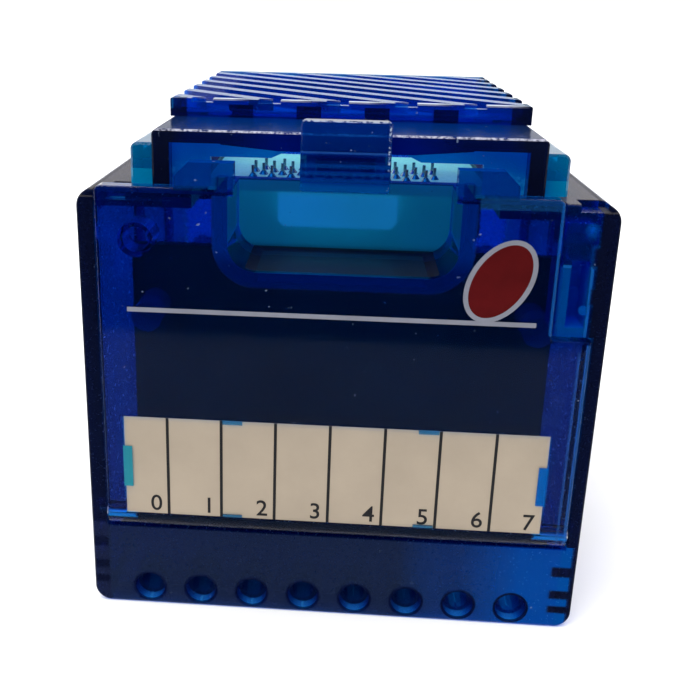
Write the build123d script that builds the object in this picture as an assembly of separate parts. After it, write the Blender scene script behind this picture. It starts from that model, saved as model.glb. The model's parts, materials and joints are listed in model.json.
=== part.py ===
from build123d import *
import math
import os

# Plug-in analogue output module for a rack of controls.
# Units are millimetres, +Z is up, the labelled front faces -Y.
# The origin is the middle of the module's footprint, at its underside.

# overall sizes
body_width = 64.8
body_height = 58.1
total_length = 71.0
wall = 2.2
corner_radius = 2.2
edge_soft = 0.5

front = -total_length / 2
frame_front = front + 0.8
body_back = front + 66.0
plug_back = total_length / 2
half_width = body_width / 2

# front cover
cover_thick = 2.0
cover_left = -29.9
cover_right = 30.4
cover_step_x = 25.6
cover_step_z = 41.4
cover_bottom = 12.3
cover_top = 58.7
cover_gap = 0.35
hinge_y = front + 1.6
hinge_z = 13.9
hinge_barrel_radius = 1.6
hinge_pin_radius = 0.7
hinge_pin_fit = 0.05
hinge_pin_length = 5.0

# finger recess in the cover
recess_half_width = 13.8
recess_floor = 48.6
recess_depth = 11.6
recess_wall = 1.8
recess_back_wall = 1.3
recess_corner = 3.4
recess_back_top = 57.9

# snap ears above the cover
ear_inner = 13.1
ear_outer = 20.2
ear_top = 61.8
ear_chamfer = 1.7
ear_window = 1.2
ear_window_height = 1.7
ear_window_inset = 0.8

# label pocket, card and tabs
label_left = -27.4
label_right = 27.0
label_bottom = 14.5
label_top = 28.7
label_thick = 0.3
label_pocket_depth = 0.5

# front band with probe tubes
tube_count = 8
tube_pitch = 7.0
tube_first = -24.65
tube_height = 2.65
tube_bore_radius = 1.45
tube_mouth_radius = 2.05
tube_mouth_depth = 1.5
tube_wall = 0.5
tube_length = 5.0

# hood on the top face, open at the front as an arch
arch_left = -23.4
arch_right = 23.7
arch_front = front + 3.0
web_back = arch_front + 3.4
hood_back = front + 62.6
arch_top = 65.2
arch_leg = 2.1
arch_bar = 1.6
web_thick = 1.2
web_opening_half = 16.6
web_opening_top = 61.7
web_notch_half = 6.5
web_notch_low_half = 9.1
web_notch_top = 62.9
bow_half = 15.0
bow_run = 7.0
bow_drop = 0.7
cheek_inner = 3.7
cheek_outer = 4.8

# release latch
latch_half_width = 5.3
latch_bottom = 58.6
latch_ridge_low = 59.9
latch_top = 67.0
latch_thick = 1.5
latch_front = front + 0.6
latch_pivot_y = front + 7.9
latch_pivot_z = 61.6
latch_pin_radius = 0.8
latch_pin_fit = 0.05

# window in the top face and the board below it
window_half = 18.4
window_front = front + 2.3
window_back = front + 60.0
board_back = front + 33.6

# louvre cover on top of the hood
louvre_front = front + 15.3
louvre_top = 67.6
louvre_wall = 1.9
fin_pitch_y = 7.8
fin_pitch_x = 8.9
fin_gap_y = 4.9
fin_first_y = louvre_front + 2.5
fin_floor = 66.1
louvre_roof = 1.5
louvre_front_wall = 1.3

# boards
board_thick = 1.6
upper_board_top = 57.6
card_front = front + 13.4
card_top = 48.2
card_bottom = 8.2
card_half = 28.6
lower_board_top = 11.4
lower_board_front = front + 16.2
lower_board_back = body_back - 4.2
pin_pitch = 2.54

os.makedirs("parts", exist_ok=True)


def block(x0, x1, y0, y1, z0, z1):
    """A plain box between two corners."""
    centre = ((x0 + x1) / 2, (y0 + y1) / 2, (z0 + z1) / 2)
    return Pos(*centre) * Box(x1 - x0, y1 - y0, z1 - z0)


def rod_x(radius, x0, x1, y, z):
    """A round bar along X."""
    return Pos((x0 + x1) / 2, y, z) * Rot(0, 90, 0) * Cylinder(radius, x1 - x0)


def rod_y(radius, x, y0, y1, z):
    """A round bar along Y."""
    return Pos(x, (y0 + y1) / 2, z) * Rot(90, 0, 0) * Cylinder(radius, y1 - y0)


def rod_z(radius, x, y, z0, z1):
    """A round bar along Z."""
    return Pos(x, y, (z0 + z1) / 2) * Cylinder(radius, z1 - z0)


def rounded(x0, x1, y0, y1, z0, z1, radius, axis):
    """A box with the four edges along one axis rounded."""
    solid = block(x0, x1, y0, y1, z0, z1)
    return fillet(solid.edges().filter_by(axis), radius)


def save(shape, node):
    """Write one sub-part."""
    export_step(shape, "parts/" + node + ".step")


def group(shapes):
    """Separate equal solids kept together as one sub-part."""
    return Compound(children=shapes)


# the case starts as a tube of four walls, open at the front and at the back
outer = rounded(-half_width, half_width, frame_front, body_back, 0, body_height, corner_radius, Axis.Y)
outer = fillet(outer.edges().group_by(Axis.Y)[0], edge_soft)
inside = rounded(-half_width + wall, half_width - wall, frame_front - 1, body_back + 1,
                 wall, body_height - wall, 1.0, Axis.Y)
case = outer - inside
seam = half_width - wall
middle = body_height / 2

# housing: the floor, the front band with its row of tubes, and the stands of the lower board
housing = case & block(-seam, seam, frame_front - 1, body_back + 1, -1, middle)
band_top = cover_bottom - cover_gap
band_back = frame_front + 2.2
housing += block(-seam, seam, frame_front, band_back, wall, band_top)
tube_back = frame_front + tube_length
for i in range(tube_count):
    x = tube_first + i * tube_pitch
    housing += rod_y(tube_mouth_radius + tube_wall, x, frame_front + 0.2, tube_back, tube_height)
for i in range(tube_count):
    x = tube_first + i * tube_pitch
    housing -= rod_y(tube_bore_radius, x, frame_front - 1, tube_back + 1, tube_height)
    housing -= rod_y(tube_mouth_radius, x, frame_front - 1, frame_front + tube_mouth_depth, tube_height)
stand_places = []
for x in (-25.0, 25.0):
    for y in (front + 21.0, front + 38.5, front + 49.0):
        stand_places.append((x, y))
stand_top = lower_board_top - board_thick
for x, y in stand_places:
    housing += rod_z(3.0, x, y, wall - 0.2, stand_top)
for x, y in stand_places:
    housing -= rod_z(1.05, x, y, wall + 0.6, stand_top + 1)
save(housing, "housing")

# shared cuts: room for the cover's edges, and the keying notch on the upper right corner
clear_back = front + 3.9
corner_left = cover_step_x + cover_gap
corner_base = cover_step_z + cover_gap
wide_room = block(cover_left - cover_gap, corner_left, frame_front - 1, clear_back,
                  band_top, body_height - wall - 0.1)
low_room = block(corner_left - 1, cover_right + cover_gap, frame_front - 1, clear_back, band_top, corner_base)
key_notch = block(corner_left + 1.6, half_width - 1.4, frame_front - 1, frame_front + 3.0,
                  body_height - 0.9, body_height + 1)

# side walls, with vent slots low down, light ribs inside and seats for the hinge pins
side_walls = []
for side in (-1, 1):
    low_x = min(side * seam, side * (half_width + 1))
    high_x = max(side * seam, side * (half_width + 1))
    panel = case & block(low_x, high_x, frame_front - 1, body_back + 1, -1, body_height + 1)
    panel_middle = side * (half_width - wall / 2)
    for i in range(3):
        z = 5.0 + i * 3.6
        for k in range(3):
            y = front + 7.0 + k * 19.0
            panel -= block(panel_middle - wall, panel_middle + wall, y, y + 14.0, z, z + 1.6)
    for y in (front + 22.0, front + 43.0):
        x = side * (seam - 0.5)
        panel += block(x - 0.7, x + 0.7, y, y + 1.6, 22.0, body_height - wall - 4.0)
    pin_end = side * (half_width - wall / 2 - hinge_pin_length)
    panel -= rod_x(hinge_pin_radius, min(panel_middle, pin_end), max(panel_middle, pin_end), hinge_y, hinge_z)
    panel -= wide_room
    panel -= low_room
    panel -= key_notch
    side_walls.append(panel)
save(group(side_walls), "side_walls")

# corner block beside the cover's upper right corner: a pocket, two pips and two bars behind
corner_back = frame_front + 6.0
corner = block(corner_left, seam, frame_front, corner_back, corner_base, body_height - wall)
corner = fillet(corner.edges().filter_by(Axis.Z).group_by(Axis.Y)[0].sort_by(Axis.X)[0], 0.4)
corner -= case
corner -= block(corner_left + 1.2, corner_left + 3.5, frame_front - 1, frame_front + 4.2,
                corner_base + 1.2, corner_base + 9.6)
for z in (45.2, 54.2):
    corner += rod_y(0.55, 29.1, frame_front - 0.2, frame_front + 0.2, z)
for z in (46.2, 50.9):
    corner += block(27.6, seam, corner_back - 0.1, corner_back + 5.0, z, z + 1.6)
save(corner, "corner_block")

# top panel: the rebate the cover closes into, the window over the upper board, and its ledges
top_panel = case & block(-seam, seam, frame_front - 1, body_back + 1, middle, body_height + 1)
top_panel -= block(cover_left - cover_gap, corner_left, frame_front - 1, window_front,
                   body_height - wall - 1.1, body_height + 1)
top_panel -= wide_room
top_panel -= key_notch
top_panel -= block(cover_left + 1.2, cover_left + 3.4, window_front - 1, window_front + 3.6,
                   body_height - 1.4, body_height + 1)
top_panel -= block(-window_half, window_half, frame_front - 1, window_back,
                   body_height - wall - 0.1, body_height + 1)
for side in (-1, 1):
    ledge_front = front + 14.6
    ledge_back = front + 33.0
    ledge_top = upper_board_top - board_thick
    low_x = min(side * 17.2, side * (window_half + 2.6))
    high_x = max(side * 17.2, side * (window_half + 2.6))
    top_panel += block(low_x, high_x, ledge_front, ledge_back, ledge_top - 1.6, ledge_top)
    low_x = min(side * (window_half + 0.4), side * (window_half + 2.6))
    high_x = max(side * (window_half + 0.4), side * (window_half + 2.6))
    top_panel += block(low_x, high_x, ledge_front, ledge_back, ledge_top - 1.6, body_height - wall)
save(top_panel, "top_panel")

# hinge pins of the cover, held in the housing walls
pins = []
for side in (-1, 1):
    x0 = side * (half_width - wall / 2)
    x1 = side * (half_width - wall / 2 - hinge_pin_length)
    pins.append(rod_x(hinge_pin_radius, min(x0, x1), max(x0, x1), hinge_y, hinge_z))
save(group(pins), "hinge_pins")

# hood: a raised box on the top face; its open front is an arch with a thin web inside
hood_base = body_height
hood = rounded(arch_left, arch_right, arch_front, hood_back, hood_base - 4, arch_top, 0.8, Axis.Y)
hood -= block(arch_left - 1, arch_right + 1, arch_front - 1, hood_back + 1, hood_base - 5, hood_base)
hood = chamfer(hood.edges().group_by(Axis.Y)[0].group_by(Axis.Z)[-1], 0.25)
hood -= block(arch_left + arch_leg, arch_right - arch_leg, arch_front - 1, hood_back - arch_leg,
              hood_base - 1, arch_top - arch_bar)
hood -= block(arch_left + 3.2, arch_right - 3.2, louvre_front + 3.0, hood_back - 3.2, hood_base, arch_top + 1)
bow_top = arch_top - arch_bar
bow = block(-bow_half, bow_half, arch_front, web_back, bow_top - bow_drop, bow_top)
hood += chamfer(bow.edges().filter_by(Axis.Y).group_by(Axis.Z)[0], bow_drop - 0.1, bow_run)
web = block(arch_left + arch_leg, arch_right - arch_leg, web_back - web_thick, web_back,
            hood_base, arch_top - arch_bar)
web -= block(-web_opening_half, web_opening_half, arch_front, web_back + 1, hood_base - 1, web_opening_top)
notch_lift = web_notch_top - web_opening_top
notch_run = web_notch_low_half - web_notch_half
notch = block(-web_notch_low_half, web_notch_low_half, arch_front, web_back + 1,
              web_opening_top - 1, web_notch_top)
web -= chamfer(notch.edges().filter_by(Axis.Y).group_by(Axis.Z)[-1], notch_lift, notch_run)
hood += web
for side in (-1, 1):
    low_x = min(side * cheek_inner, side * cheek_outer)
    high_x = max(side * cheek_inner, side * cheek_outer)
    hood += block(low_x, high_x, web_back - 0.1, latch_pivot_y + 1.7, latch_pivot_z - 1.7, arch_top - 0.3)
hood -= rod_x(latch_pin_radius, -cheek_outer - 1, cheek_outer + 1, latch_pivot_y, latch_pivot_z)
save(hood, "hood")

# louvre cover: a low cap on the hood, with slanting slots through its roof and its side rails
cap_base = arch_top
cap = rounded(arch_left, arch_right, louvre_front, hood_back, cap_base - 3, louvre_top, 0.25, Axis.Y)
cap -= block(arch_left - 1, arch_right + 1, louvre_front - 1, hood_back + 1, cap_base - 4, cap_base)
cap -= block(arch_left + louvre_wall, arch_right - louvre_wall, louvre_front + louvre_front_wall,
             hood_back - louvre_wall, cap_base - 1, louvre_top - louvre_roof)
fin_angle = math.degrees(math.atan2(fin_pitch_y, fin_pitch_x))
gap_normal = fin_gap_y * math.cos(math.radians(fin_angle))
region = block(arch_left - 1, arch_right + 1, louvre_front + louvre_front_wall, hood_back - louvre_wall,
               fin_floor, louvre_top + 1)
for k in range(-1, 12):
    y = fin_first_y + (k + 1) * fin_pitch_y - fin_gap_y / 2
    slot = Box(240, gap_normal, 20)
    slot = Pos(arch_left, y, fin_floor + 10) * Rot(0, 0, -fin_angle) * slot
    cap -= slot & region
tooth_gap = 2.9
first_gap_x = -20.6
for i in range(5):
    x = first_gap_x + i * fin_pitch_x
    cap -= block(x, x + tooth_gap, louvre_front - 1, louvre_front + louvre_front_wall + 0.1,
                 louvre_top - 0.5, louvre_top + 1)
stop_half = 1.6
first_stop_x = -14.0
for i in range(4):
    x = first_stop_x + i * fin_pitch_x
    cap += block(x - stop_half, x + stop_half, louvre_front + louvre_front_wall - 0.1,
                 louvre_front + louvre_front_wall + 1.4, cap_base, louvre_top - 0.9)
for x in (-15.8, 15.7):
    cap -= block(x - 0.6, x + 0.6, louvre_front - 1, louvre_front + 0.8, cap_base + 0.3, cap_base + 0.9)
lip_gap = 0.15
lip_left = arch_left + 3.2 + lip_gap
lip_right = arch_right - 3.2 - lip_gap
lip_front = louvre_front + 3.0 + lip_gap
lip_back = hood_back - 3.2 - lip_gap
lip_wall = 1.2
lip = block(lip_left, lip_right, lip_front, lip_back, cap_base - 1.2, cap_base + 0.5)
lip -= block(lip_left + lip_wall, lip_right - lip_wall, lip_front + lip_wall, lip_back - lip_wall,
             cap_base - 2, cap_base + 1)
lip_bridge = block(arch_left + 0.5, arch_right - 0.5, louvre_front + 0.5, hood_back - 0.5, cap_base, cap_base + 0.5)
lip_bridge -= block(lip_left + lip_wall, lip_right - lip_wall, lip_front + lip_wall, lip_back - lip_wall,
                    cap_base - 1, cap_base + 1)
cap += lip + lip_bridge
save(cap, "louvre_cover")

# lugs beside the hood
lugs = []
for x0, x1 in ((-26.5, arch_left - 0.15), (arch_right + 0.15, 26.8)):
    lug = block(x0, x1, front + 5.0, front + 16.0, body_height, body_height + 5.1)
    outer_x = x0 if x0 < 0 else x1
    edges = lug.edges().filter_by(Axis.Y).group_by(Axis.Z)[-1]
    edge = min(edges, key=lambda e: abs(e.center().X - outer_x))
    lug = fillet(edge, 0.9)
    lugs.append(chamfer(lug.edges().group_by(Axis.Y)[0].group_by(Axis.Z)[-1], 0.3))
save(group(lugs), "side_lugs")

# release latch: a thumb blade on an arm, rocking on a pin inside the hood
latch_back = latch_front + latch_thick
blade = rounded(-latch_half_width, latch_half_width, latch_front, latch_back, latch_bottom, latch_top, 0.5, Axis.Y)
latch = chamfer(blade.edges().group_by(Axis.Y)[0], 0.2)
ridge_half = latch_half_width - 0.2
for i in range(3):
    z = latch_ridge_low + i * 0.85
    latch += block(-ridge_half, ridge_half, latch_front - 0.35, latch_front + 0.3, z, z + 0.35)
latch -= block(-latch_half_width - 1, latch_half_width + 1, latch_front - 1, latch_front + 0.4,
               latch_ridge_low + 2.45, latch_ridge_low + 3.05)
latch += block(-ridge_half, ridge_half, latch_front - 0.12, latch_front + 0.3,
               latch_ridge_low + 3.3, latch_ridge_low + 3.5)
arm_half = cheek_inner - 0.3
arm_low = latch_pivot_z - 0.9
arm_high = latch_pivot_z + 0.9
tail_back = latch_pivot_y + 4.4
spring_half = 1.9
latch += block(-arm_half, arm_half, latch_back - 0.1, latch_pivot_y, arm_low, arm_high)
latch += rod_x(1.5, -arm_half, arm_half, latch_pivot_y, latch_pivot_z)
latch += block(-arm_half, arm_half, latch_pivot_y, tail_back, arm_low, arm_high)
latch += block(-arm_half, arm_half, tail_back - 1.2, tail_back, latch_pivot_z - 1.8, arm_high)
latch -= block(-spring_half, spring_half, latch_pivot_y - 2.2, latch_pivot_y + 2.2, latch_pivot_z - 3, latch_pivot_z + 3)
latch -= rod_x(latch_pin_radius + latch_pin_fit, -arm_half - 1, arm_half + 1, latch_pivot_y, latch_pivot_z)
save(latch, "release_latch")

# pivot pin of the latch, held in the cheeks of the hood
save(rod_x(latch_pin_radius, -cheek_outer, cheek_outer, latch_pivot_y, latch_pivot_z), "latch_pin")

# torsion spring on the pin
wire = 0.2
coil_radius = 1.25
turns = 6
coil_pitch = 0.55
coil_length = turns * coil_pitch
helix = Helix(coil_pitch, coil_length, coil_radius)
start = helix @ 0
profile = Plane(origin=start, z_dir=helix % 0) * Circle(wire)
spring = sweep(profile, path=helix, is_frenet=True)
spring = Pos(-coil_length / 2, latch_pivot_y, latch_pivot_z) * Rot(0, 90, 0) * spring
save(spring, "latch_spring")

# front cover: stepped plate, finger recess, snap ears and a barrel along its lower edge
cover_back = front + cover_thick
cover = block(cover_left, cover_right, front, cover_back, hinge_z, cover_top)
cover -= block(cover_step_x, cover_right + 1, front - 1, cover_back + 1, cover_step_z, cover_top + 1)
cover = fillet(cover.edges().filter_by(Axis.Y).group_by(Axis.Z)[-1], 0.8)
cover_rim = []
for edge in cover.edges().group_by(Axis.Y)[0]:
    if edge.center().Z > hinge_z + 1:
        cover_rim.append(edge)
cover = fillet(cover_rim, 0.3)
cover += rod_x(hinge_barrel_radius, cover_left, cover_right, hinge_y, hinge_z)
border = block(cover_left + 0.7, cover_step_x - 0.7, front, front + 0.2, cover_top - 1.6, cover_top - 1.35)
cover -= border
cover_boss = rod_y(2.2, -25.4, cover_back - 0.1, cover_back + 4.0, 51.8)
cover_boss -= rod_y(1.6, -25.4, cover_back + 0.4, cover_back + 5.0, 51.8)
cover += cover_boss
for x0, x1 in ((-ear_outer, -ear_inner), (ear_inner, ear_outer)):
    ear = block(x0, x1, front, cover_back, recess_floor - 1.6, ear_top)
    outer_x = x0 if x0 < 0 else x1
    top_edges = ear.edges().filter_by(Axis.Y).group_by(Axis.Z)[-1]
    edge = min(top_edges, key=lambda e: abs(e.center().X - outer_x))
    cover += chamfer(edge, ear_chamfer)
outer_half = recess_half_width + recess_wall
rim_floor = recess_floor - recess_wall
rim_back = front + recess_depth + recess_back_wall
rim = block(-outer_half, outer_half, front, rim_back, rim_floor, recess_back_top)
rim = fillet(rim.edges().filter_by(Axis.Y).group_by(Axis.Z)[0], recess_corner + recess_wall)
cover += rim
hollow = block(-recess_half_width, recess_half_width, front - 1, front + recess_depth,
               recess_floor, recess_back_top)
hollow = fillet(hollow.edges().filter_by(Axis.Y).group_by(Axis.Z)[0], recess_corner)
cover -= hollow
cover -= block(-ear_inner, ear_inner, front - 1, front + recess_depth, recess_back_top - 0.1, ear_top + 5)
window_low = ear_top - 3.4
for side in (-1, 1):
    x0 = side * (ear_inner + ear_window_inset)
    x1 = side * (ear_inner + ear_window_inset + ear_window)
    cover -= block(min(x0, x1), max(x0, x1), front + 0.9, front + 3, window_low, window_low + ear_window_height)
cover -= block(label_left, label_right, front - 1, front + label_pocket_depth, label_bottom, label_top)
tabs = []
tab_reach = 0.55
tab_depth = 0.12
for x in (-13.2, 11.8):
    tabs.append((x - 1.3, x + 1.3, label_top - tab_reach, label_top))
    tabs.append((x - 1.3, x + 1.3, label_bottom, label_bottom + tab_reach))
tabs.append((label_left, label_left + 1.1, 18.6, 24.4))
tabs.append((label_right - 1.1, label_right, 18.8, 24.2))
for x0, x1, z0, z1 in tabs:
    cover += block(x0, x1, front, front + tab_depth, z0, z1)
silver_bottom = 43.0
silver_height = 0.6
silver_left = -26.3
silver_right = 23.6
print_depth = 0.1
cover -= block(silver_left, silver_right, front - 1, front + print_depth, silver_bottom, silver_bottom + silver_height)
oval_x = 18.9
oval_z = 48.6
oval_long = 5.6
oval_short = 3.7
oval_lean = -30
oval_rim = 0.6
oval_place = Pos(oval_x, front, oval_z) * Rot(90, 0, 0) * Rot(0, 0, oval_lean)
oval_outer = oval_place * extrude(Ellipse(oval_short, oval_long), print_depth, both=True)
cover -= oval_outer
for side in (-1, 1):
    x = cover_left if side < 0 else cover_right
    inner_x = side * (half_width - wall / 2 - hinge_pin_length - 0.3)
    cover -= rod_x(hinge_pin_radius + hinge_pin_fit, min(x + side, inner_x), max(x + side, inner_x), hinge_y, hinge_z)
save(cover, "front_cover")

# printed line and oval, level with the cover
silver = block(silver_left, silver_right, front, front + print_depth, silver_bottom, silver_bottom + silver_height)
inset = extrude(Ellipse(oval_short, oval_long), print_depth)
core = extrude(Ellipse(oval_short - oval_rim, oval_long - oval_rim), print_depth)
print_place = Pos(oval_x, front + print_depth, oval_z) * Rot(90, 0, 0) * Rot(0, 0, oval_lean)
ring_solid = print_place * (inset - core)
core_solid = print_place * core
silver -= print_place * inset
save(silver, "silver_line")
save(ring_solid, "oval_ring")
save(core_solid, "oval_centre")

# label card under its tabs
card = block(label_left + 0.1, label_right - 0.1, front + label_pocket_depth - label_thick,
             front + label_pocket_depth, label_bottom + 0.1, label_top - 0.1)
save(card, "label_card")

# upper board, solder side up, with a staggered pin field
upper_front = front + 13.2
upper_back = board_back
upper = block(-window_half + 0.3, window_half - 0.3, upper_front, upper_back,
              upper_board_top - board_thick, upper_board_top)
pin_rows = 4
row_pitch = 1.9
pins_in_row = 10
pin_places = []
for row in range(pin_rows):
    shift = pin_pitch / 2 if row % 2 else 0
    for i in range(pins_in_row):
        x = -12.3 + shift + i * pin_pitch
        pin_places.append((x, front + 14.6 + row * row_pitch))
save(upper, "upper_board")

# solder joints and pin ends of that field
joints = []
for x, y in pin_places:
    cone = Pos(x, y, upper_board_top + 0.25) * Cone(0.62, 0.28, 0.5)
    tip = rod_z(0.22, x, y, upper_board_top + 0.4, upper_board_top + 1.5)
    joints.append(cone + tip)
save(group(joints), "solder_joints")

# socket block below the upper board, with a keyed mouth
socket_top = upper_board_top - board_thick
socket_left = -8.8
socket_right = 7.0
socket = block(socket_left, socket_right, front + 13.4, front + 17.6, socket_top - 4.7, socket_top)
socket = chamfer(socket.edges().filter_by(Axis.Y).group_by(Axis.Z)[0], 0.8)
socket -= block(socket_left + 2.0, socket_right - 2.0, front + 14.6, front + 16.4, socket_top - 6, socket_top - 1.2)
save(socket, "socket_block")

# front card across the module, dark, with the cover in front of it
front_card = block(-card_half, card_half, card_front, card_front + board_thick, card_bottom, card_top)
save(front_card, "front_card")
card_posts = []
for x in (-25.4, 25.4):
    for z in (16.5, 40.0):
        card_posts.append(rod_y(2.0, x, front + 7.0, card_front, z))
save(group(card_posts), "card_posts")

# lower board with the power and output stages
lower = block(-28.6, 28.6, lower_board_front, lower_board_back, lower_board_top - board_thick, lower_board_top)
for x, y in stand_places:
    lower -= rod_z(1.3, x, y, 0, lower_board_top + 1)
save(lower, "lower_board")

board_screws = []
for x, y in stand_places:
    head = rod_z(2.3, x, y, lower_board_top, lower_board_top + 1.6)
    shank = rod_z(0.95, x, y, lower_board_top - 6.0, lower_board_top)
    slot_cut = block(x - 1.6, x + 1.6, y - 0.25, y + 0.25, lower_board_top + 0.9, lower_board_top + 2)
    board_screws.append(head + shank - slot_cut)
save(group(board_screws), "board_screws")

# link header between the front card and the lower board
link_y = card_front + board_thick
save(block(-16.0, 16.0, link_y, link_y + 2.5, lower_board_top, lower_board_top + 5.0), "link_header")

# upright board between the lower board and the upper board
mid_front = front + 18.0
mid_card = block(-16.5, 16.5, mid_front, mid_front + board_thick, lower_board_top, upper_board_top - board_thick)
save(mid_card, "riser_board")

# isolated supply block
save(rounded(-22.0, -2.0, front + 43.0, front + 54.5, lower_board_top, lower_board_top + 11.0, 1.0, Axis.Z),
     "supply_module")

# transformer with its bobbin and core
coil_front = front + 43.0
coil_back = front + 54.5
bobbin = block(4.0, 22.0, coil_front, coil_back, lower_board_top, lower_board_top + 3.0)
bobbin += block(6.5, 19.5, coil_front + 1.5, coil_back - 1.5, lower_board_top + 3.0, lower_board_top + 13.0)
save(bobbin, "transformer_coil")
core_top = lower_board_top + 15.0
yoke = block(4.0, 22.0, coil_front + 2.5, coil_back - 2.5, lower_board_top + 3.0, core_top)
yoke -= block(6.5, 19.5, coil_front, coil_back, lower_board_top + 2.0, lower_board_top + 13.0)
save(yoke, "transformer_core")

# converter chips, a row of four
chip_y = front + 29.5
chip_places = []
for i in range(4):
    chip_places.append(-19.5 + i * 13.0)
chips = []
for x in chip_places:
    chips.append(block(x - 3.8, x + 3.8, chip_y - 5.2, chip_y + 5.2, lower_board_top + 0.3, lower_board_top + 2.6))
save(group(chips), "converter_chips")

chip_legs = []
for x in chip_places:
    for side in (-1, 1):
        for j in range(7):
            y = chip_y - 3.81 + j * 1.27
            x0 = x + side * 3.8
            x1 = x + side * 5.0
            chip_legs.append(block(min(x0, x1), max(x0, x1), y - 0.2, y + 0.2, lower_board_top, lower_board_top + 0.9))
save(group(chip_legs), "chip_legs")

# couplers on the riser board
couplers = []
for i in range(4):
    x = -9.0 + i * 6.0
    couplers.append(block(x - 2.2, x + 2.2, mid_front + board_thick, mid_front + board_thick + 3.2, 20.0, 26.5))
    couplers.append(block(x - 2.2, x + 2.2, mid_front + board_thick, mid_front + board_thick + 3.2, 32.0, 38.5))
save(group(couplers), "couplers")

# smoothing capacitors
cans = []
can_y = front + 38.8
for x in (-16.5, -5.5, 5.5, 16.5):
    cans.append(rod_z(3.2, x, can_y, lower_board_top, lower_board_top + 12.0))
save(group(cans), "capacitors")

# rear plate, screwed into the tube of the housing
plate_front = body_back - 3.0
plate_side = half_width - wall - 0.15
plate = rounded(-plate_side, plate_side, plate_front, body_back, wall + 0.15, body_height - wall - 0.15, 1.1, Axis.Y)
bus_half, bus_low, bus_high = 24.0, 40.0, 49.0
field_half, field_low, field_high = 24.0, 13.2, 27.2
plate -= block(-bus_half, bus_half, plate_front - 1, body_back + 1, bus_low, bus_high)
plate -= block(-field_half, field_half, plate_front - 1, body_back + 1, field_low, field_high)
screw_places = []
for x in (-27.0, 27.0):
    for z in (6.0, 33.5):
        screw_places.append((x, z))
for x, z in screw_places:
    plate -= rod_y(1.5, x, plate_front - 1, body_back + 1, z)
save(plate, "rear_plate")

# bosses behind the plate for its screws
bosses = []
for x, z in screw_places:
    boss = rod_y(2.9, x, plate_front - 9.0, plate_front, z)
    boss -= rod_y(1.05, x, plate_front - 7.5, plate_front + 1, z)
    bosses.append(boss)
save(group(bosses), "rear_bosses")

# screws of the rear plate
rear_screws = []
for x, z in screw_places:
    head = rod_y(2.6, x, body_back, body_back + 1.6, z)
    shank = rod_y(0.95, x, plate_front - 6.0, body_back, z)
    cross = block(x - 1.7, x + 1.7, body_back + 0.8, body_back + 2, z - 0.3, z + 0.3)
    cross += block(x - 0.3, x + 0.3, body_back + 0.8, body_back + 2, z - 1.7, z + 1.7)
    rear_screws.append(head + shank - cross)
save(group(rear_screws), "rear_screws")

# bus plug: a body in the plate with a flat tongue, contacts on both faces of the tongue
bus_middle = (bus_low + bus_high) / 2
tongue_half_height = 1.5
bus = block(-bus_half, bus_half, plate_front - 8.0, body_back + 0.8, bus_low, bus_high)
tongue = block(-21.5, 21.5, body_back, plug_back, bus_middle - tongue_half_height, bus_middle + tongue_half_height)
bus += chamfer(tongue.edges().filter_by(Axis.X).group_by(Axis.Y)[-1], 0.6)
bus_contacts = []
for i in range(16):
    x = -19.05 + i * pin_pitch
    for side in (-1, 1):
        z0 = bus_middle + side * tongue_half_height
        z1 = bus_middle + side * (tongue_half_height + 0.12)
        bus_contacts.append(block(x - 0.6, x + 0.6, body_back + 0.8, plug_back - 0.8, min(z0, z1), max(z0, z1)))
save(bus, "bus_plug")
save(group(bus_contacts), "bus_contacts")

# field plug: a body in the plate with two rows of flat blades
blade_pitch = 5.08
blade_count = 9
field = block(-field_half, field_half, plate_front - 8.0, body_back + 0.8, field_low, field_high)
blades = []
for i in range(blade_count):
    x = -blade_pitch * (blade_count - 1) / 2 + i * blade_pitch
    for z in (field_low + 3.6, field_high - 3.6):
        field -= block(x - 1.25, x + 1.25, plate_front - 4.0, body_back + 2, z - 0.4, z + 0.4)
        blades.append(block(x - 1.2, x + 1.2, plate_front - 3.9, plug_back, z - 0.35, z + 0.35))
save(field, "field_plug")
save(group(blades), "field_blades")
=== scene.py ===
import bpy
import bmesh
import json
import math
from mathutils import Matrix, Vector


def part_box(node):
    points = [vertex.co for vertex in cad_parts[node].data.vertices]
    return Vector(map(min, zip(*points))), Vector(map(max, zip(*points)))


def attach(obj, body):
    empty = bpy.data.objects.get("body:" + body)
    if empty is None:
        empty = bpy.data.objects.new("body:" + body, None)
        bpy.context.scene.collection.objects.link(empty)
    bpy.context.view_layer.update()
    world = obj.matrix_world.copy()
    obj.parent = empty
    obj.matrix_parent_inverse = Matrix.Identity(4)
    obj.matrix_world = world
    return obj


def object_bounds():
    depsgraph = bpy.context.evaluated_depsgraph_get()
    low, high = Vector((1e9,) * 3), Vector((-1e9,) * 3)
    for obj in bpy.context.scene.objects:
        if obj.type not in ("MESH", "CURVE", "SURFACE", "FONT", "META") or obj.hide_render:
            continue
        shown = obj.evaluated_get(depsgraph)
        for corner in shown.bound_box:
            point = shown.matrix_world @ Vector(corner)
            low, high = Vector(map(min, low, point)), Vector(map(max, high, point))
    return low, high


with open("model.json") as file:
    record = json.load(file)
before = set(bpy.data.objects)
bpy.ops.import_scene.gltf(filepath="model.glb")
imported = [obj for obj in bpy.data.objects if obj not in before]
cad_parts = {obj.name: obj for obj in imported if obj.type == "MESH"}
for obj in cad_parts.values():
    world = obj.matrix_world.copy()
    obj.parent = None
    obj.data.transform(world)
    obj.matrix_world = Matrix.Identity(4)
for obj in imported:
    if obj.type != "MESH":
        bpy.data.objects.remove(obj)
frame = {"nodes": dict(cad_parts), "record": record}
cad_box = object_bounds()
nodes = frame["nodes"]
scene = bpy.context.scene

# ---------------------------------------------------------------- units and colours
# Zones below are in millimetres in the frame's axes; Blender works in metres.
MM = 0.001
X, Y, Z = 0, 1, 2
FRONT = round(cad_box[0][Y] / MM, 3)

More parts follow.
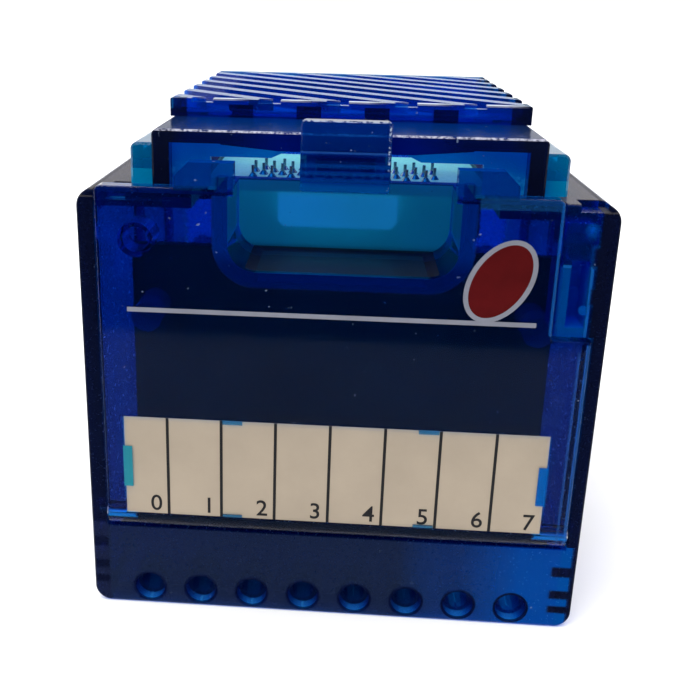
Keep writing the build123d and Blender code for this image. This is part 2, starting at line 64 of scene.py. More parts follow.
NAVY = (0.003, 0.004, 0.014)
DUSK = (0.05, 0.046, 0.045)
GREY = (0.55, 0.52, 0.50)
DEEP = (0.0, 0.060, 0.38)
BRIGHT = (0.0, 0.12, 0.55)

# noise scales, in repeats per metre
CLOUD_SCALE, HAZE_SCALE, PATCH_SCALE = 90.0, 38.0, 70.0
WAVE_SCALE, GRAIN_SCALE, COARSE_SCALE, DUST_SCALE = 160.0, 2600.0, 3800.0, 1500.0

# heights of the waves and of the coarse skin, in metres
WAVE_HEIGHT, COARSE_HEIGHT = 0.00010, 0.00007

DUST_LEVEL = 0.76
DUST_COLOUR = (0.20, 0.27, 0.40)
THINNEST_SHEEN = 0.06


# ---------------------------------------------------------------- a helper for node materials
class Shader:
    """One material's node tree, with short ways to add and join nodes."""

    def __init__(self, name):
        self.mat = bpy.data.materials.new(name)
        self.mat.use_nodes = True
        self.tree = self.mat.node_tree
        self.tree.nodes.clear()
        self.out = self.add("ShaderNodeOutputMaterial")
        self.bsdf = self.add("ShaderNodeBsdfPrincipled")
        self.link(self.bsdf.outputs[0], self.out.inputs["Surface"])
        self.coord = self.add("ShaderNodeTexCoord").outputs["Object"]
        split = self.add("ShaderNodeSeparateXYZ")
        self.link(self.coord, split.inputs[0])
        self.axes = split.outputs

    def add(self, kind, **inputs):
        node = self.tree.nodes.new(kind)
        for key, value in inputs.items():
            node.inputs[key.replace("_", " ")].default_value = value
        return node

    def link(self, start, end):
        self.tree.links.new(start, end)

    def set(self, **inputs):
        for key, value in inputs.items():
            self.bsdf.inputs[key.replace("_", " ")].default_value = value

    def noise(self, scale, detail=3.0, rough=0.5):
        node = self.add("ShaderNodeTexNoise", Scale=scale, Detail=detail, Roughness=rough)
        self.link(self.coord, node.inputs["Vector"])
        return node.outputs["Fac"]

    def two_tone(self, value, low, high, start, end):
        """A colour that runs from low to high as the value goes from start to end."""
        node = self.add("ShaderNodeValToRGB")
        self.link(value, node.inputs[0])
        for element, place, colour in zip(node.color_ramp.elements, (start, end), (low, high)):
            element.position = place
            element.color = (*colour, 1.0)
        return node.outputs["Color"]

    def span(self, value, low, high, from_low=0.3, from_high=0.7):
        """The value's run between from_low and from_high, moved to low and high and clamped."""
        node = self.add("ShaderNodeMapRange")
        node.clamp = True
        self.link(value, node.inputs["Value"])
        node.inputs["From Min"].default_value = from_low
        node.inputs["From Max"].default_value = from_high
        node.inputs["To Min"].default_value = low
        node.inputs["To Max"].default_value = high
        return node.outputs["Result"]

    def math(self, operation, first, second=0.0, clamp=False):
        node = self.add("ShaderNodeMath")
        node.operation = operation
        node.use_clamp = clamp
        for socket, value in zip(node.inputs, (first, second)):
            if isinstance(value, float):
                socket.default_value = value
            else:
                self.link(value, socket)
        return node.outputs[0]

    def tint(self, factor, first, second):
        """The second colour where the factor is 1, else the first, which may be missing."""
        node = self.add("ShaderNodeMixRGB")
        self.link(factor, node.inputs[0])
        if first is None:
            node.inputs[1].default_value = (*second, 1.0)
        else:
            self.link(first, node.inputs[1])
        node.inputs[2].default_value = (*second, 1.0)
        return node.outputs[0]

    def blend(self, factor, first, second):
        node = self.add("ShaderNodeMixShader")
        if isinstance(factor, float):
            node.inputs[0].default_value = factor
        else:
            self.link(factor, node.inputs[0])
        self.link(first, node.inputs[1])
        self.link(second, node.inputs[2])
        return node.outputs[0]

    def bump(self, height, distance, strength=1.0, normal=None):
        node = self.add("ShaderNodeBump", Strength=strength, Distance=distance)
        self.link(height, node.inputs["Height"])
        if normal:
            self.link(normal, node.inputs["Normal"])
        return node.outputs["Normal"]


# ---------------------------------------------------------------- masks
def along(axis, low, high, soft=0.01):
    """A mask for a stretch of an axis that fades out over soft."""
    def term(s):
        centre, half = (low * MM + high * MM) / 2, (high * MM - low * MM) / 2
        away = s.math("ABSOLUTE", s.math("SUBTRACT", s.axes[axis], centre))
        return s.span(away, 1.0, 0.0, half, half + soft * MM)
    return term


def depth(low, high, soft=0.01):
    """A mask for a stretch of depth behind the front."""
    return along(Y, FRONT + low, FRONT + high, soft)


def length_of(s, a, b):
    return s.math("SQRT", s.math("ADD", s.math("MULTIPLY", a, a), s.math("MULTIPLY", b, b)))


def u_ring(half, floor_z, corner, width, soft):
    """A mask for the band outside a U with rounded lower corners."""
    def term(s):
        side = s.math("SUBTRACT", s.math("ABSOLUTE", s.axes[X]), (half - corner) * MM)
        side = s.math("MAXIMUM", side, 0.0)
        low = s.math("MAXIMUM", s.math("SUBTRACT", (floor_z + corner) * MM, s.axes[Z]), 0.0)
        away = s.math("SUBTRACT", length_of(s, side, low), (corner + width / 2) * MM)
        return s.span(s.math("ABSOLUTE", away), 1.0, 0.0, width / 2 * MM, (width / 2 + soft) * MM)
    return term


TUBE_FIRST, TUBE_PITCH, TUBE_Z = -24.65, 7.0, 2.65


def tube_band(inner, outer, soft):
    """A mask around the axis of each probe tube, between two radii."""
    def term(s):
        across = s.math("SUBTRACT", s.axes[X], (TUBE_FIRST - TUBE_PITCH / 2) * MM)
        across = s.math("FLOORED_MODULO", across, TUBE_PITCH * MM)
        across = s.math("SUBTRACT", across, TUBE_PITCH / 2 * MM)
        up = s.math("SUBTRACT", s.axes[Z], TUBE_Z * MM)
        middle, half = (inner + outer) / 2 * MM, (outer - inner) / 2 * MM
        away = s.math("ABSOLUTE", s.math("SUBTRACT", length_of(s, across, up), middle))
        return s.span(away, 1.0, 0.0, half, half + soft * MM)
    return term


def broken(scale, low, high):
    """A mask of scattered patches."""
    return lambda s: s.span(s.noise(scale, 2.0, 0.6), 0.0, 1.0, low, high)


def product(s, terms):
    zone = None
    for term in terms:
        part = term(s)
        zone = part if zone is None else s.math("MULTIPLY", zone, part)
    return zone


def zone(amount, colour, *terms):
    """A zone of matt skin: how opaque it is, its colour, and the masks that bound it. Its colour is a frost
    tone, a painted shade or a painted highlight.
    """
    return terms, amount, colour


# ---------------------------------------------------------------- the two kinds of material
def glance(s, power, most):
    """A factor that rises towards grazing angles."""
    edge = s.add("ShaderNodeLayerWeight", Blend=0.5)
    return s.math("MULTIPLY", s.math("POWER", edge.outputs["Facing"], power), most, clamp=True)


def frosted(s, body, zones):
    """Lays a matt, slightly coarse skin over the body where the zones are, coloured with frost tones, painted
    shades and painted highlights; later zones win the colour.
    """
    skin = s.add("ShaderNodeBsdfPrincipled")
    skin.inputs["Specular IOR Level"].default_value = 0.0
    coarse = s.noise(COARSE_SCALE, 2.0, 0.7)
    s.link(s.span(coarse, 0.30, 0.62), skin.inputs["Roughness"])
    s.link(s.bump(coarse, COARSE_HEIGHT), skin.inputs["Normal"])
    cover, tone = None, None
    for terms, amount, colour in zones:
        mask = product(s, terms)
        tone = s.tint(mask, tone, colour)
        mask = s.math("MULTIPLY", mask, amount)
        cover = mask if cover is None else s.math("MAXIMUM", cover, mask)
    s.link(tone, skin.inputs["Base Color"])
    patchy = s.span(s.noise(PATCH_SCALE), 0.86, 1.0)
    return s.blend(s.math("MULTIPLY", cover, patchy), body, skin.outputs[0])


def blue_plastic(name, tint, absorb, rough, grain, haze, glow, shine, frost_and_painted_light=(), mirror=(0.03, 0.08, 0.22),
                 sheen_tone=(0.95, 0.95, 0.97), sheen_rough=None, satin=None, ior=1.46):
    """Translucent blue moulding: clear plastic that darkens with thickness, with a little haze,
    frosted zones that also carry painted shades and painted highlights, gloss at grazing angles and dust."""
    s = Shader(name)
    # clear body with a fine grain
    fine = s.noise(GRAIN_SCALE, 2.0, 0.6)
    low = tuple(c * 0.86 for c in tint)
    s.link(s.two_tone(s.noise(CLOUD_SCALE, 4.0), low, tint, 0.3, 0.7), s.bsdf.inputs["Base Color"])
    gloss = s.span(fine, rough * 0.75, min(1.0, rough * 1.3))
    if satin:
        where, least = satin
        gloss = s.math("MAXIMUM", gloss, s.math("MULTIPLY", where(s), least))
    s.link(gloss, s.bsdf.inputs["Roughness"])
    normal = s.bump(s.noise(WAVE_SCALE, 2.0), WAVE_HEIGHT, 0.2)
    normal = s.bump(fine, grain, 1.0, normal)
    s.link(normal, s.bsdf.inputs["Normal"])
    s.set(Transmission_Weight=1.0, IOR=ior, Specular_Tint=(*mirror, 1.0))
    # haze, which carries the colour where nothing shines through
    milk = s.add("ShaderNodeBsdfTranslucent")
    cast = s.add("ShaderNodeBsdfDiffuse")
    dim = tuple(c * 0.7 for c in glow)
    shade = s.two_tone(s.noise(HAZE_SCALE), dim, glow, 0.32, 0.66)
    for lobe in (milk, cast):
        s.link(shade, lobe.inputs["Color"])
        s.link(normal, lobe.inputs["Normal"])
    body = s.blend(haze, s.bsdf.outputs[0], s.blend(0.45, milk.outputs[0], cast.outputs[0]))
    if frost_and_painted_light:
        body = frosted(s, body, frost_and_painted_light)
    # gloss at grazing angles
    sheen = s.add("ShaderNodeBsdfAnisotropic")
    sheen.inputs["Color"].default_value = (*sheen_tone, 1.0)
    sheen.inputs["Roughness"].default_value = sheen_rough or max(THINNEST_SHEEN, rough)
    s.link(normal, sheen.inputs["Normal"])
    body = s.blend(glance(s, *shine), body, sheen.outputs[0])
    # dust
    speck = s.add("ShaderNodeBsdfDiffuse")
    speck.inputs["Color"].default_value = (*DUST_COLOUR, 1.0)
    specks = s.span(s.noise(DUST_SCALE, 1.0, 0.5), 0.0, 0.6, DUST_LEVEL, DUST_LEVEL + 0.05)
    body = s.blend(specks, body, speck.outputs[0])
    # shadows are tinted, and thick places absorb more
    clear = s.add("ShaderNodeBsdfTransparent")
    clear.inputs["Color"].default_value = (*tint, 1.0)
    path = s.add("ShaderNodeLightPath")
    s.link(s.blend(path.outputs["Is Shadow Ray"], body, clear.outputs[0]), s.out.inputs["Surface"])
    volume = s.add("ShaderNodeVolumeAbsorption")
    strongest = max(absorb)
    volume.inputs["Color"].default_value = (*(1.0 - a / strongest for a in absorb), 1.0)
    volume.inputs["Density"].default_value = strongest
    s.link(volume.outputs[0], s.out.inputs["Volume"])
    return s.mat


def solid_plastic(name, colour, rough=0.45, grain=0.00001, spread=0.15, scale=200.0, metal=0.0, gloss=0.5,
                  lit=0.0, fade=None):
    """Opaque moulding, ink, board or metal with a little variation; lit adds a painted glow, standing in
    for light that comes through the case, which fade weakens to half towards the front."""
    s = Shader(name)
    low = tuple(c * (1.0 - spread) for c in colour)
    high = tuple(min(1.0, c * (1.0 + spread)) for c in colour)
    s.link(s.two_tone(s.noise(scale, 4.0), low, high, 0.3, 0.7), s.bsdf.inputs["Base Color"])
    fine = s.noise(scale * 12.0)
    s.link(s.span(fine, rough * 0.8, min(1.0, rough * 1.25)), s.bsdf.inputs["Roughness"])
    s.link(s.bump(fine, grain, 0.6), s.bsdf.inputs["Normal"])
    s.set(Metallic=metal, Specular_IOR_Level=gloss)
    if lit:
        s.set(Emission_Color=(*colour, 1.0), Emission_Strength=lit)
    if fade:
        near, far = fade
        strength = s.span(s.axes[Y], 0.5 * lit, lit, (FRONT + near) * MM, (FRONT + far) * MM)
        s.link(strength, s.bsdf.inputs["Emission Strength"])
    return s.mat


# ---------------------------------------------------------------- zones of the case: frosted skin, painted shade and painted light
WALL_EDGE = depth(0.0, 2.1)
BAND_FACE = depth(0.0, 1.1)
BAND = along(Z, -1.0, 12.4)
TOP_FACE = along(Z, 58.0, 58.3)
LEFT_HALF = along(X, -33.0, 0.0)
RIGHT_HALF = along(X, 0.0, 33.0)
# the stretch of the band that gets painted shade
SHADED_STRETCH = along(X, -34.0, 10.0, 12.0)
VENT_SHADES = [(2.4, 3.2), (4.6, 5.6), (8.0, 9.2)]
VENT_OFFSET = 0.8

# The side walls: navy painted shade on the front edges above the band, dark painted shade and bright blue
# painted light across the band, navy painted shade on the outer corner, a matt dusk skin on the top face and
# the notch floor, and navy on the bottom face.
wall_frost_and_painted_light = [zone(0.85, NAVY, WALL_EDGE, along(Z, 12.4, 58.2)),
              zone(0.8, (0.010, 0.014, 0.040), WALL_EDGE, BAND, LEFT_HALF),
              zone(0.8, (0.0, 0.070, 0.33), WALL_EDGE, BAND, along(X, 0.0, 31.5, 0.6)),
              zone(0.85, NAVY, WALL_EDGE, BAND, along(X, 31.9, 33.0, 0.4)),
              zone(0.75, DUSK, TOP_FACE),
              zone(0.75, DUSK, along(Z, 57.1, 57.3), depth(0.0, 4.0)),
              zone(0.6, NAVY, along(Z, -0.1, 0.1))]
# The front band: dark painted shade on its left stretch, bright blue painted light on its right end, dark
# painted shade inside the probe tubes and a dark painted ring round their mouths.
band_painted_light = [zone(0.8, (0.009, 0.017, 0.045), BAND_FACE, BAND, SHADED_STRETCH),
              zone(0.8, (0.0, 0.062, 0.33), BAND_FACE, BAND, along(X, 25.0, 34.0, 16.0)),
              zone(0.85, (0.003, 0.012, 0.040), tube_band(0.0, 1.9, 0.2), depth(1.2, 8.0), SHADED_STRETCH),
              zone(0.9, (0.001, 0.003, 0.022), tube_band(2.05, 2.3, 0.12), BAND_FACE, along(X, -28.0, 28.0))]
# Navy painted shade in stripes where the vents show through the front of the walls and of the band.
for low, high in VENT_SHADES:
    left_shade = along(Z, low + VENT_OFFSET, high + VENT_OFFSET, 0.3)
    wall_frost_and_painted_light.append(zone(0.85, NAVY, WALL_EDGE, along(Z, low, high, 0.3), RIGHT_HALF))
    wall_frost_and_painted_light.append(zone(0.85, NAVY, WALL_EDGE, left_shade, LEFT_HALF))
    band_painted_light.append(zone(0.85, NAVY, BAND_FACE, along(Z, low, high, 0.3), along(X, 29.4, 30.4, 0.5)))

# The top panel: a matt dusk skin on the top face, and dark blue painted shade on its front edge.
top_frost_and_painted_shade = [zone(0.75, DUSK, TOP_FACE),
             zone(0.9, (0.0, 0.012, 0.10), depth(0.0, 2.4), along(Z, 50.0, 57.2), along(X, -22.0, 22.0))]

BLOCK_FACE = depth(0.5, 1.0)
# The corner block: painted light in the pocket, painted highlight lines along its edges and a painted
# highlight spot, a light grey matt top, and navy painted shade in two bars.
corner_painted_light = [zone(0.5, (0.0, 0.085, 0.38), depth(0.0, 9.0), along(X, 26.0, 29.6, 0.3),
                     along(Z, 41.8, 50.4, 0.3)),
                zone(0.6, (0.01, 0.16, 0.50), BLOCK_FACE, along(X, 26.2, 29.6, 0.1),
                     along(Z, 50.45, 50.75, 0.1)),
                zone(0.6, (0.01, 0.14, 0.48), BLOCK_FACE, along(X, 29.55, 29.8, 0.1),
                     along(Z, 41.8, 50.7, 0.1)),
                zone(0.6, (0.0, 0.10, 0.60), BLOCK_FACE, along(X, 29.0, 29.2, 0.9),
                     along(Z, 55.0, 55.3, 1.1)),
                zone(0.7, (0.16, 0.15, 0.15), depth(0.0, 9.0), along(Z, 57.0, 58.4)),
                zone(0.8, NAVY, BLOCK_FACE, along(X, 29.8, 31.0, 0.6), along(Z, 50.8, 52.8, 0.6)),
                zone(0.8, NAVY, BLOCK_FACE, along(X, 29.9, 31.0, 0.3), along(Z, 46.0, 47.8, 0.3))]

# ---------------------------------------------------------------- zones of the hood and the louvre: painted shades, highlights and reflections
LOUVRE_ENDS = depth(15.0, 16.5)
TOOTH_PITCH = 8.9
FIRST_SHADOW, FIRST_TOOTH_GLINT = -14.0, -17.7
SHADOW_HALF, TOOTH_GLINT_RUN = 1.6, 2.5

# The louvre: navy painted shade on the ends of its front and on the right ends of the fins, and a teal tint
# on the rear row.
louvre_painted_light = [zone(0.85, NAVY, along(X, -23.6, -21.2), LOUVRE_ENDS),
                zone(0.85, NAVY, along(X, 21.1, 23.9), LOUVRE_ENDS),
                zone(0.8, NAVY, along(X, 22.9, 23.9)),
                zone(0.5, (0.0, 0.10, 0.17), depth(60.8, 62.8), along(Z, 66.0, 68.0))]
# dark painted shadows below the teeth, on the front of the louvre
for k in range(4):
    middle = FIRST_SHADOW + TOOTH_PITCH * k
    louvre_painted_light.append(zone(0.85, (0.001, 0.002, 0.010), along(X, middle - SHADOW_HALF, middle + SHADOW_HALF),
                             along(Z, 65.1, 66.9), depth(15.0, 15.5)))
# white painted highlights along the tops of the teeth
for k in range(5):
    left = FIRST_TOOTH_GLINT + TOOTH_PITCH * k
    louvre_painted_light.append(zone(0.8, (0.50, 0.52, 0.58), along(X, left, left + TOOTH_GLINT_RUN, 3.0),
                             along(Z, 67.4, 67.8), depth(15.0, 16.8)))

HOOD_FACE = depth(2.8, 3.35)
HOOD_TOP = along(Z, 65.1, 65.3)
WEB = depth(5.1, 6.5)
# The hood: its frosted front face painted dark navy as shade, bluer towards the middle as painted light;
# painted light on the web with brighter patches; a dark top with a blue painted reflection in its middle;
# broken white painted glints along the front edge.
hood_painted_light = [zone(0.94, NAVY, HOOD_FACE),
              zone(0.94, (0.001, 0.0035, 0.045), HOOD_FACE, along(X, -19.0, 19.0, 2.0), along(Z, 62.0, 66.0)),
              zone(0.94, (0.0, 0.004, 0.12), HOOD_FACE, along(X, -8.0, 8.0, 6.0)),
              zone(0.78, (0.0, 0.26, 0.62), WEB, along(Z, 58.0, 63.7)),
              zone(0.75, (0.02, 0.42, 0.75), WEB, along(Z, 58.0, 60.2, 0.8), broken(1500.0, 0.45, 0.6)),
              zone(0.5, (0.01, 0.016, 0.04), HOOD_TOP),
              zone(0.88, (0.0, 0.016, 0.10), HOOD_TOP, along(X, -19.0, 19.0, 4.0)),
              zone(0.85, (0.50, 0.50, 0.60), depth(2.7, 3.25), along(Z, 64.97, 65.3),
                   broken(2400.0, 0.35, 0.6))]

# ---------------------------------------------------------------- zones of the cover and the latch: painted shades, highlights and light
COVER_FACE = depth(-0.1, 0.1)
TAB_FACE = depth(-0.1, 0.2)
EARS = along(Z, 58.3, 60.2)
RIM = u_ring(13.8, 48.6, 3.4, 1.8, 0.2)
# The cover: painted shade on the floor of the recess; painted light along the rim of the U, darker at its
# bottom as painted shade; a dark blue strip along the top ledge; painted light at the top right; painted
# highlight lines along the right-hand edges; a deep blue tint over the ears with dark patches beside the U;
# and teal and blue painted tints on the tabs, in place of what shows through them.
cover_painted_light = [zone(0.85, (0.010, 0.012, 0.015), along(Z, 48.3, 48.9), along(X, -12.9, 12.9, 0.9),
                    depth(1.0, 12.0)),
               zone(0.75, (0.0, 0.016, 0.17), RIM, COVER_FACE, along(Z, 40.0, 57.9)),
               zone(0.75, (0.0, 0.006, 0.09), RIM, COVER_FACE, along(Z, 40.0, 49.4, 2.0)),
               zone(0.85, (0.0, 0.03, 0.15), along(Z, 57.7, 58.1), depth(1.9, 13.1)),
               zone(0.30, (0.01, 0.10, 0.30), COVER_FACE, along(Z, 57.3, 58.8), along(X, 15.8, 25.6)),
               zone(0.45, (0.01, 0.15, 0.55), COVER_FACE, along(X, 25.2, 25.6, 0.1), along(Z, 42.0, 58.5)),
               zone(0.5, (0.0, 0.035, 0.22), depth(-0.1, 2.1), along(Z, 58.75, 62.0), along(X, -21.0, 21.0)),
               zone(0.6, (0.0, 0.008, 0.07), COVER_FACE, EARS, along(X, -15.2, -13.8)),
               zone(0.6, (0.0, 0.008, 0.07), COVER_FACE, EARS, along(X, 13.8, 15.2)),
               zone(0.5, (0.02, 0.12, 0.42), COVER_FACE, along(X, 29.9, 30.3, 0.1), along(Z, 13.0, 41.0)),
               zone(0.35, (0.02, 0.12, 0.42), COVER_FACE, along(X, 29.0, 29.25, 0.1), along(Z, 13.0, 40.0)),
               zone(0.75, (0.03, 0.28, 0.33), TAB_FACE, along(X, -27.5, -26.2), along(Z, 18.5, 24.5)),
               zone(0.6, (0.0, 0.12, 0.45), TAB_FACE, along(X, 25.8, 27.1), along(Z, 18.7, 24.3))]

BLADE = depth(-1.0, 1.3)
FIRST_RIB, RIB_PITCH, RIB_HEIGHT = 59.9, 0.85, 0.35
# The latch: painted shade over the lower blade and in a dark groove, a painted highlight line above it,
# dotted white painted glints along the right and top edges, and painted light at the foot of the blade.
latch_painted_light = [zone(0.55, (0.0, 0.012, 0.11), BLADE, along(Z, 58.0, 62.3)),
               zone(0.6, (0.0, 0.005, 0.06), BLADE, along(Z, 62.35, 62.95, 0.15)),
               zone(0.5, (0.02, 0.10, 0.34), BLADE, along(Z, 63.2, 63.4, 0.08)),
               zone(0.8, (0.50, 0.58, 0.66), BLADE, along(X, 4.95, 5.15, 0.08), along(Z, 61.0, 66.6),
                    broken(2200.0, 0.42, 0.55)),
               zone(0.7, (0.45, 0.50, 0.60), depth(-1.0, 0.85), along(Z, 66.85, 67.1, 0.05),
                    broken(2000.0, 0.3, 0.5)),
               zone(0.6, (0.0, 0.080, 0.30), BLADE, along(Z, 58.0, 59.4, 0.8))]
# painted highlight bands on the grip ribs
for k in range(3):
    low = FIRST_RIB + RIB_PITCH * k
    latch_painted_light.append(zone(0.5, (0.0, 0.036, 0.21), BLADE, along(Z, low, low + RIB_HEIGHT, 0.12)))

# ---------------------------------------------------------------- materials
SHELL = dict(tint=(0.25, 0.55, 1.0), absorb=(2600.0, 700.0, 280.0), rough=0.22, grain=0.00001,
             haze=0.16, glow=DEEP)
CLEAR = {
    "blue_shell": dict(**SHELL, shine=(5.0, 0.4), frost_and_painted_light=band_painted_light, mirror=(0.15, 0.18, 0.30)),
    "blue_walls": dict(**SHELL, shine=(5.0, 0.02), frost_and_painted_light=wall_frost_and_painted_light, sheen_tone=GREY),
    "blue_top": dict(**SHELL, shine=(4.0, 0.27), frost_and_painted_light=top_frost_and_painted_shade, sheen_tone=GREY),
    "blue_corner": dict(tint=(0.25, 0.60, 1.0), absorb=(2200.0, 600.0, 150.0), rough=0.12, grain=0.000006,
                        haze=0.14, glow=BRIGHT, shine=(5.0, 0.3), frost_and_painted_light=corner_painted_light),
    "blue_louvre": dict(tint=(0.25, 0.55, 1.0), absorb=(2400.0, 600.0, 170.0), rough=0.14, grain=0.00001,
                        haze=0.18, glow=(0.0, 0.11, 0.45), shine=(3.0, 0.26), frost_and_painted_light=louvre_painted_light,
                        sheen_tone=(0.52, 0.74, 1.0)),
    "blue_arch": dict(tint=(0.25, 0.58, 1.0), absorb=(2000.0, 600.0, 230.0), rough=0.20, grain=0.00002,
                      haze=0.18, glow=BRIGHT, shine=(5.0, 0.55), frost_and_painted_light=hood_painted_light,
                      sheen_tone=(0.42, 0.42, 0.46), sheen_rough=0.07),
    # the teal lug is painted brighter teal low down, as painted light
    "teal_lug": dict(tint=(0.20, 0.78, 1.0), absorb=(900.0, 160.0, 90.0), rough=0.08, grain=0.000005,
                     haze=0.34, glow=(0.0, 0.36, 0.58), shine=(3.0, 0.4),
                     frost_and_painted_light=[zone(0.6, (0.0, 0.36, 0.62), along(Z, 58.0, 60.0))]),
    "blue_cover": dict(tint=(0.30, 0.68, 1.0), absorb=(1700.0, 400.0, 150.0), rough=0.05, grain=0.000004,
                       haze=0.03, glow=BRIGHT, shine=(5.0, 0.3), frost_and_painted_light=cover_painted_light, mirror=(0.20, 0.21, 0.26),
                       satin=(depth(10.0, 14.0), 0.5), ior=1.36),
    "blue_latch": dict(tint=(0.30, 0.66, 1.0), absorb=(1900.0, 600.0, 220.0), rough=0.07, grain=0.000004,
                       haze=0.4, glow=(0.0, 0.055, 0.30), shine=(4.0, 0.5), frost_and_painted_light=latch_painted_light),
    "blue_rear": dict(tint=(0.28, 0.52, 1.0), absorb=(2400.0, 700.0, 220.0), rough=0.25, grain=0.00003,
                      haze=0.3, glow=DEEP, shine=(3.0, 0.5)),
}
# lit gives the two boards and the socket block a painted glow, standing in for light that comes through the
# case
SOLID = {
    "steel": dict(colour=(0.56, 0.57, 0.59), rough=0.35, spread=0.08, scale=300.0, metal=1.0),
    "solder": dict(colour=(0.36, 0.50, 0.48), rough=0.22, spread=0.10, scale=500.0, metal=1.0),
    "can": dict(colour=(0.66, 0.67, 0.69), rough=0.3, spread=0.06, metal=1.0),
    "gold": dict(colour=(0.83, 0.60, 0.22), rough=0.25, spread=0.06, scale=300.0, metal=1.0),
    "board_pale": dict(colour=(0.10, 0.36, 0.30), rough=0.4, spread=0.14, lit=0.7, fade=(22.0, 38.0)),
    "board_mint": dict(colour=(0.07, 0.46, 0.46), rough=0.4, spread=0.14, lit=0.34),
    "board_dark": dict(colour=(0.016, 0.024, 0.016), rough=0.5, spread=0.25, gloss=0.2),
    "board_green": dict(colour=(0.03, 0.20, 0.10), rough=0.4),
    "black_plastic": dict(colour=(0.02, 0.02, 0.023), rough=0.5, grain=0.00003, spread=0.2),
    "white_plastic": dict(colour=(0.75, 0.75, 0.73), rough=0.5, grain=0.00002, spread=0.05),
    "socket_natural": dict(colour=(0.32, 0.75, 0.74), rough=0.5, grain=0.00002, spread=0.05, lit=0.50),
    "coil_tape": dict(colour=(0.70, 0.50, 0.10), rough=0.35, grain=0.00002, spread=0.1, scale=150.0),
    "ferrite": dict(colour=(0.06, 0.06, 0.065), rough=0.6, grain=0.00004, spread=0.25, scale=400.0),
    "silver_print": dict(colour=(0.22, 0.23, 0.28), rough=0.5, spread=0.08, scale=400.0, gloss=0.3),
    "red_print": dict(colour=(0.085, 0.004, 0.005), scale=300.0, gloss=0.05),
    "card": dict(colour=(0.415, 0.345, 0.265), rough=0.6, spread=0.05, scale=150.0, gloss=0.2),
    "black_ink": dict(colour=(0.006, 0.006, 0.008), rough=0.5, spread=0.2, scale=900.0, gloss=0.2),
    "floor_paper": dict(colour=(0.86, 0.86, 0.87), rough=0.8, spread=0.01, scale=6.0),
}
looks = {name: blue_plastic(name, **spec) for name, spec in CLEAR.items()}
looks.update({name: solid_plastic(name, **spec) for name, spec in SOLID.items()})

# nodes whose look differs from that of their material slot
OWN_LOOK = {"side_walls": "blue_walls", "top_panel": "blue_top", "corner_block": "blue_corner",
            "riser_board": "board_mint", "socket_block": "socket_natural"}
slot_of = {s["node"]: s["material_slot"] for s in frame["record"]["subparts"]}
for name, ob in nodes.items():
    ob.data.materials.clear()
    ob.data.materials.append(looks[OWN_LOOK.get(name, slot_of[name])])

# ---------------------------------------------------------------- softened edges on the mouldings
SOFT_EDGES = {"front_cover": 0.12, "release_latch": 0.12, "hood": 0.15, "side_lugs": 0.15,
              "corner_block": 0.15, "housing": 0.15, "side_walls": 0.12, "top_panel": 0.12,
              "louvre_cover": 0.12}
WELD_GAP = 0.002 * MM
EDGE_ANGLE = math.radians(40.0)
for name, width in SOFT_EDGES.items():
    weld = nodes[name].modifiers.new("weld", "WELD")
    weld.merge_threshold = WELD_GAP
    edge = nodes[name].modifiers.new("edge", "BEVEL")
    edge.width = width * MM
    edge.segments = 2
    edge.limit_method = "ANGLE"
    edge.angle_limit = EDGE_ANGLE


# ---------------------------------------------------------------- print on the label card
def plain(name, material, build):
    """A mesh object built by a function that fills a bmesh."""
    mesh = bpy.data.meshes.new(name)
    bm = bmesh.new()
    build(bm)
    bmesh.ops.recalc_face_normals(bm, faces=bm.faces)
    bm.to_mesh(mesh)
    bm.free()
    ob = bpy.data.objects.new(name, mesh)
    scene.collection.objects.link(ob)
    mesh.materials.append(material)
    return ob


def slab(bm, x0, x1, y0, y1, z0, z1):
    """A thin box between two corners, in metres."""
    matrix = Matrix.Translation(((x0 + x1) / 2, (y0 + y1) / 2, (z0 + z1) / 2))
    size = Matrix.Diagonal((x1 - x0, y1 - y0, z1 - z0, 1.0))
    bmesh.ops.create_cube(bm, size=1.0, matrix=matrix @ size)


card_low, card_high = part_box("label_card")
INK = 0.03 * MM
SUNK = 0.01 * MM
DIVIDER_HALF = 0.19 * MM
DIVIDER_INSET = 0.02 * MM
COLUMNS = 8
COLUMN = 7.0 * MM
FIRST_DIVIDER = -21.65 * MM
FIGURE_SIZE = 3.25 * MM
FIGURE_WEIGHT = 0.02 * MM
FIGURE_BASE = 15.1 * MM
# how far left of the next divider each figure stands, as a share of a column
FIGURE_SHARE = 0.235
LAST_SHARE = 0.295


def dividers(bm):
    for k in range(COLUMNS - 1):
        x = FIRST_DIVIDER + k * COLUMN
        slab(bm, x - DIVIDER_HALF, x + DIVIDER_HALF, card_low.y - INK, card_low.y + SUNK,
             card_low.z + DIVIDER_INSET, card_high.z - DIVIDER_INSET)


lines = plain("label_dividers", looks["black_ink"], dividers)
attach(lines, "cover")
for k in range(COLUMNS):
    share = LAST_SHARE if k == COLUMNS - 1 else FIGURE_SHARE
    curve = bpy.data.curves.new("figure_%d" % k, "FONT")
    curve.body = str(k)
    curve.size = FIGURE_SIZE
    curve.offset = FIGURE_WEIGHT
    curve.align_x = "CENTER"
    curve.extrude = INK / 2
    curve.resolution_u = 6
    digit = bpy.data.objects.new("figure_%d" % k, curve)
    scene.collection.objects.link(digit)
    digit.rotation_euler = (math.radians(90.0), 0.0, 0.0)
    digit.location = (FIRST_DIVIDER + (k - share) * COLUMN, card_low.y - INK / 2, FIGURE_BASE)
    curve.materials.append(looks["black_ink"])
    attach(digit, "cover")

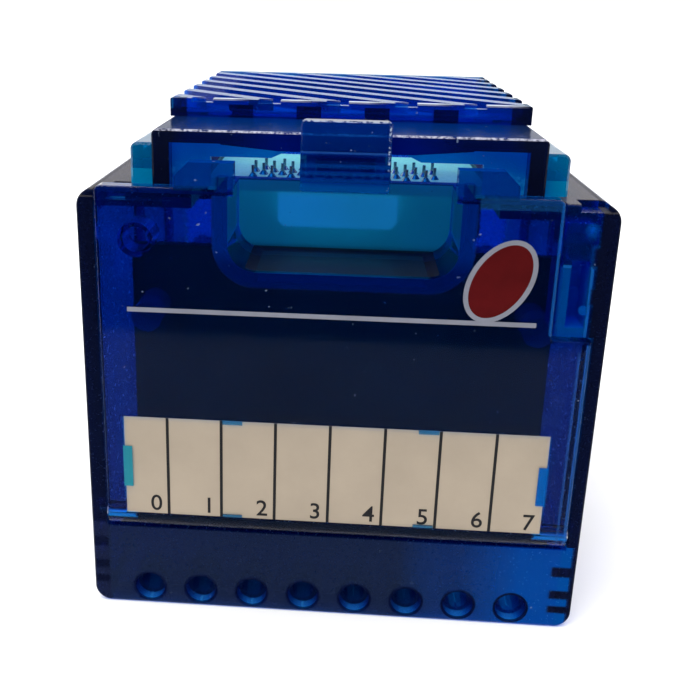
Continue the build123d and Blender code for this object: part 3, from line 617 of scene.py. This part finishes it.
# ---------------------------------------------------------------- floor
# It ends a little in front of the module, so that the glossy front reflects the darker world there.
FLOOR_WIDTH, FLOOR_DEPTH, FLOOR_START = 60.0, 30.0, -0.14
bpy.ops.mesh.primitive_grid_add(x_subdivisions=40, y_subdivisions=60, size=1.0)
floor = bpy.context.object
floor.name = "floor"
floor.scale = (FLOOR_WIDTH, FLOOR_DEPTH, 1.0)
floor.location = (0.0, FLOOR_START + FLOOR_DEPTH / 2, 0.0)
bpy.ops.object.transform_apply(location=True, rotation=False, scale=True)
floor.data.materials.append(looks["floor_paper"])

# ---------------------------------------------------------------- world, brighter behind and above
world = bpy.data.worlds.new("studio")
scene.world = world
world.use_nodes = True
sky = world.node_tree
direction = sky.nodes.new("ShaderNodeTexCoord")
split = sky.nodes.new("ShaderNodeSeparateXYZ")
sky.links.new(direction.outputs["Generated"], split.inputs[0])


def sky_ramp(axis, start, end, low, high):
    node = sky.nodes.new("ShaderNodeMapRange")
    node.inputs["From Min"].default_value = start
    node.inputs["From Max"].default_value = end
    node.inputs["To Min"].default_value = low
    node.inputs["To Max"].default_value = high
    sky.links.new(split.outputs[axis], node.inputs["Value"])
    return node.outputs["Result"]


total = sky.nodes.new("ShaderNodeMath")
total.operation = "ADD"
sky.links.new(sky_ramp("Y", -0.8, 0.3, 0.10, 1.02), total.inputs[0])
sky.links.new(sky_ramp("Z", 0.25, 0.9, 0.0, 1.1), total.inputs[1])
sky.nodes["Background"].inputs["Color"].default_value = (1.0, 1.0, 1.0, 1.0)
sky.links.new(total.outputs[0], sky.nodes["Background"].inputs["Strength"])

# ---------------------------------------------------------------- lights
LIGHT_TARGET = (0.0, 0.0, 0.03)


def softbox(name, place, size, power):
    """A soft rectangular lamp that faces the module."""
    lamp = bpy.data.lights.new(name, "AREA")
    lamp.shape = "RECTANGLE"
    lamp.size, lamp.size_y = size
    lamp.energy = power
    ob = bpy.data.objects.new(name, lamp)
    scene.collection.objects.link(ob)
    ob.location = place
    aim = Vector(LIGHT_TARGET) - Vector(place)
    ob.rotation_euler = aim.to_track_quat("-Z", "Y").to_euler()


softbox("key", (-0.30, -0.30, 0.80), (0.6, 0.6), 6.0)
softbox("rear", (0.2, 0.8, 0.5), (0.8, 0.4), 1.2)

# ---------------------------------------------------------------- camera
EYE = (0.36, -139.7, 80.29)
TURN_SIDE, TURN_DOWN, TURN_ROLL = 0.066, 0.305, 0.019
camera_data = bpy.data.cameras.new("camera")
camera = bpy.data.objects.new("camera", camera_data)
scene.collection.objects.link(camera)
scene.camera = camera
camera_data.sensor_width = 36.0
camera_data.lens = 46.54
camera_data.shift_x = 0.0901
camera_data.shift_y = -0.0951
camera_data.clip_start = 0.01
camera_data.clip_end = 20.0


def camera_axes(down_turn, side_turn, roll_turn):
    """Rows are right, down and forward, from three small turns."""
    tilt = Matrix.Rotation(down_turn, 3, "X") @ Matrix.Rotation(side_turn, 3, "Y")
    return Matrix.Rotation(roll_turn, 3, "Z") @ tilt @ Matrix(((1, 0, 0), (0, 0, -1), (0, 1, 0)))


right, down, ahead = camera_axes(TURN_DOWN, TURN_SIDE, TURN_ROLL)
pose = Matrix((right, -down, -ahead)).transposed().to_4x4()
pose.translation = Vector(EYE) * MM
camera.matrix_world = pose

scene.view_settings.view_transform = "Standard"
